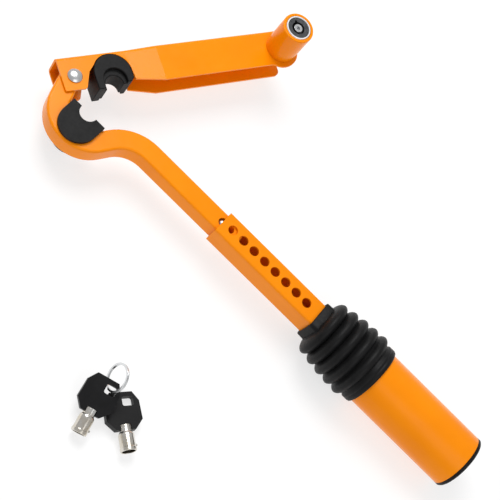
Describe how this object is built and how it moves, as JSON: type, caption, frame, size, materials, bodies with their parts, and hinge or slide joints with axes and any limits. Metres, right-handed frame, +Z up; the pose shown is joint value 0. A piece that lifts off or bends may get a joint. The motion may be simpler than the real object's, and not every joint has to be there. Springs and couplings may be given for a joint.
{
  "type": "car gear lever and handbrake lock",
  "caption": "Car anti-theft lock: a rubber-lined hook whose swinging arm locks onto a telescopic square tube, with a round sleeve on a booted flexible joint for the handbrake, and keys.",
  "frame": {"origin": "centre of the bounding box on the surface the lock lies on", "axes": "+X along the square tube towards the sleeve, +Y towards the side the arm opens to, +Z up through the lock's face"},
  "size_m": [0.4344, 0.3586, 0.0755],
  "materials": {
    "orange_coat": "glossy powder coat",
    "black_rubber": "matte moulded rubber",
    "bright_chrome": "polished",
    "zinc_steel": "zinc plated",
    "dark_lock_metal": "dark nickel, satin",
    "black_plastic": "moulded, slightly glossy",
    "key_nickel": "polished nickel over brass"
  },
  "bodies": {
    "hook": {"hook_bar": "orange_coat", "hook_pad": "black_rubber", "pivot_rivet": "bright_chrome"},
    "arm": {"swing_arm": "orange_coat", "arm_pad": "black_rubber", "arm_pad_screw": "zinc_steel", "lock_tube": "orange_coat", "lock_bezel": "bright_chrome", "lock_body": "dark_lock_metal"},
    "plug": {"lock_plug": "bright_chrome"},
    "bolt": {"lock_bolt": "zinc_steel"},
    "ball": {"detent_ball": "bright_chrome", "detent_spring": "zinc_steel"},
    "tube": {"outer_tube": "orange_coat", "boot": "black_rubber", "tube_fork": "zinc_steel"},
    "cross": {"joint_cross": "zinc_steel"},
    "sleeve": {"sleeve_fork": "zinc_steel", "sleeve_plate": "zinc_steel", "fork_nut": "zinc_steel", "sleeve_tube": "orange_coat", "sleeve_rim": "black_rubber"},
    "keys": {"key_1_head": "black_plastic", "key_1_barrel": "key_nickel", "key_2_head": "black_plastic", "key_2_barrel": "key_nickel", "key_ring": "bright_chrome"}
  },
  "joints": [
    {"name": "arm_swing", "type": "hinge", "parent": "hook", "child": "arm", "pos_m": [-0.19768, 0.00743, 0.029], "axis": [0, 0, -1], "range_deg": [-20, 59.25]},
    {"name": "tube_slide", "type": "slide", "parent": "hook", "child": "tube", "axis": [1, 0, 0], "range_m": [-0.06285, 0.00405]},
    {"name": "key_turn", "type": "hinge", "parent": "arm", "child": "plug", "pos_m": [-0.10682, 0.16229, 0.029], "axis": [0, 0, -1], "range_deg": [0, 90]},
    {"name": "bolt_throw", "type": "slide", "parent": "arm", "child": "bolt", "axis": [0, 0, -1], "range_m": [0, 0.012]},
    {"name": "ball_press", "type": "slide", "parent": "hook", "child": "ball", "axis": [0, 0, -1], "range_m": [0, 0.0015], "stiffness_N_per_m": 100, "springref_m": -0.002, "deforming": ["detent_spring"]},
    {"name": "joint_pitch", "type": "hinge", "parent": "tube", "child": "cross", "pos_m": [0.08772, 0.00853, 0.029], "axis": [0, 1, 0], "range_deg": [-15, 15], "stiffness_Nm_per_rad": 2, "deforming": ["boot"]},
    {"name": "joint_yaw", "type": "hinge", "parent": "cross", "child": "sleeve", "pos_m": [0.08772, 0.00853, 0.029], "axis": [0, 0, 1], "range_deg": [-15, 15], "stiffness_Nm_per_rad": 2, "deforming": ["boot"]},
    {"name": "keys_lift", "type": "slide", "parent": "hook", "child": "keys", "axis": [0, 0, 1], "range_m": [0, 0.1]}
  ],
  "couplings": [
    {"joint": "key_turn", "follows": "bolt_throw", "rad_per_m": 130.8}
  ]
}
